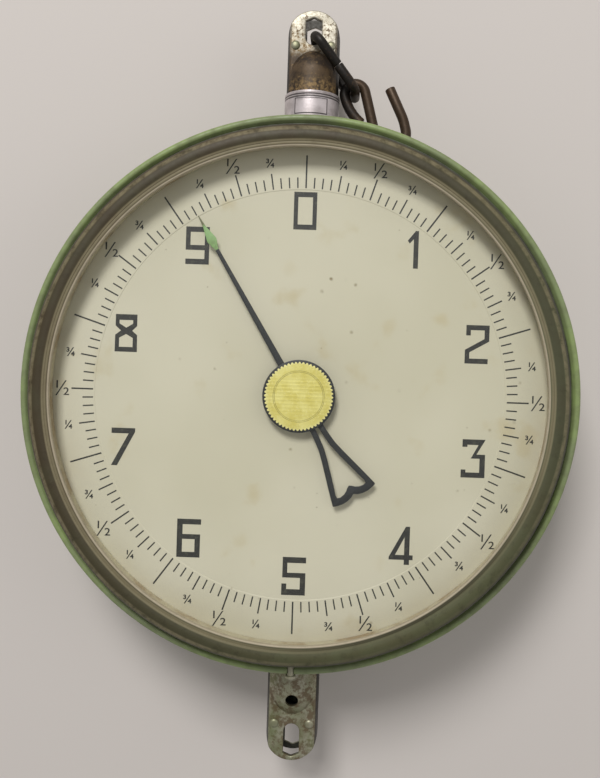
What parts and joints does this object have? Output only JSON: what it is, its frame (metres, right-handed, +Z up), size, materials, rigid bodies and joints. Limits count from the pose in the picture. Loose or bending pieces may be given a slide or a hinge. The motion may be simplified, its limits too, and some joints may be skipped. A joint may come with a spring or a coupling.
{
  "type": "hanging spring scale",
  "caption": "Hanging dial spring scale: round green case, glazed dial with a sprung pointer, slotted eyes top and bottom, link and hook.",
  "frame": {"origin": "the seat at the pointed top of the slot in the upper eye, on the tube's axis", "axes": "+Z up along the tubes, -Y out of the dial's face, +X to the right seen from the front"},
  "size_m": [0.3544, 0.1063, 0.5027],
  "materials": {
    "green_paint": "semi-gloss green paint, worn at the rim",
    "bezel_metal": "aged olive-brown plated ring",
    "plated_steel": "worn nickel plating",
    "rusty_tube": "rusted steel with plating left on the cheeks",
    "glass": "clear",
    "gasket_rubber": "matt",
    "dial_face": "ivory enamel with printed scale",
    "black_wire": "blackened steel with brown rust",
    "black_paint": "satin black",
    "seal_foil": "gold paper foil",
    "dark_steel": "oiled",
    "brass_parts": "bright",
    "spring_steel": "blued",
    "bright_steel": "bright turned steel"
  },
  "bodies": {
    "housing": {"case_pan": "green_paint", "bezel_ring": "bezel_metal", "upper_tube": "rusty_tube", "spring_left": "spring_steel", "spring_right": "spring_steel", "rear_plate": "brass_parts", "glass_gasket": "gasket_rubber", "spacer_ring": "bezel_metal", "dial_plate": "dial_face", "glass_lens": "glass", "guide_bush": "brass_parts", "upper_stem": "bright_steel", "roller_stud": "bright_steel", "upper_crosshead": "dark_steel", "tube_band": "plated_steel", "inner_collar": "dark_steel", "outer_collar": "dark_steel", "guide_bush_nut": "brass_parts", "front_plate": "brass_parts", "front_bush": "brass_parts", "rear_bush": "brass_parts", "upper_spring_anchor_left": "bright_steel", "upper_spring_anchor_right": "bright_steel", "upper_rivet_left": "plated_steel", "upper_rivet_right": "plated_steel", "pillar_1": "bright_steel", "pillar_2": "bright_steel", "pillar_3": "bright_steel", "standoff_1": "bright_steel", "standoff_2": "bright_steel", "upper_stem_nut": "bright_steel", "bezel_lock_screw": "plated_steel", "plate_screw_1": "bright_steel", "plate_screw_2": "bright_steel", "plate_screw_3": "bright_steel", "frame_screw_1": "bright_steel", "frame_screw_2": "bright_steel", "case_screw_1": "plated_steel", "case_screw_2": "plated_steel", "upper_cross_pin": "bright_steel"},
    "load": {"lower_tube": "plated_steel", "lower_rivet_left": "plated_steel", "lower_rivet_right": "plated_steel", "lower_stem": "bright_steel", "lower_cross_pin": "bright_steel", "zero_nut": "brass_parts", "lower_crosshead": "dark_steel", "lower_spring_anchor_left": "bright_steel", "lower_spring_anchor_right": "bright_steel", "rack": "brass_parts", "rack_screw": "bright_steel"},
    "pointer": {"pinion_arbor": "bright_steel", "pointer_collet": "brass_parts", "pointer": "black_paint", "hub_disc": "black_paint", "hub_seal": "seal_foil"},
    "roller": {"rack_roller": "brass_parts"},
    "link": {"hanger_link": "black_wire"},
    "hook": {"hanger_hook": "black_wire"}
  },
  "joints": [
    {"name": "load_slide", "type": "slide", "parent": "housing", "child": "load", "axis": [0, 0, -1], "range_m": [-0.0015, 0.0393], "stiffness_N_per_m": 2360, "springref_m": -0.003, "deforming": ["spring_left", "spring_right"]},
    {"name": "pointer_turn", "type": "hinge", "parent": "housing", "child": "pointer", "pos_m": [0, 0, -0.25], "axis": [0, 1, 0], "range_deg": [-29, 752]},
    {"name": "roller_turn", "type": "hinge", "parent": "housing", "child": "roller", "pos_m": [0.0133, 0, -0.25], "axis": [0, -1, 0], "range_deg": [-29, 752]},
    {"name": "link_swing", "type": "hinge", "parent": "housing", "child": "link", "pos_m": [0.00115, 0, -0.0141], "axis": [0, -1, 0], "range_deg": [0, 139]},
    {"name": "hook_swing", "type": "hinge", "parent": "link", "child": "hook", "pos_m": [0.02884, 0, -0.04687], "axis": [0, -1, 0], "range_deg": [-12, 90]}
  ],
  "couplings": [
    {"joint": "pointer_turn", "follows": "load_slide", "rad_per_m": 333.33},
    {"joint": "roller_turn", "follows": "load_slide", "rad_per_m": 333.33}
  ]
}
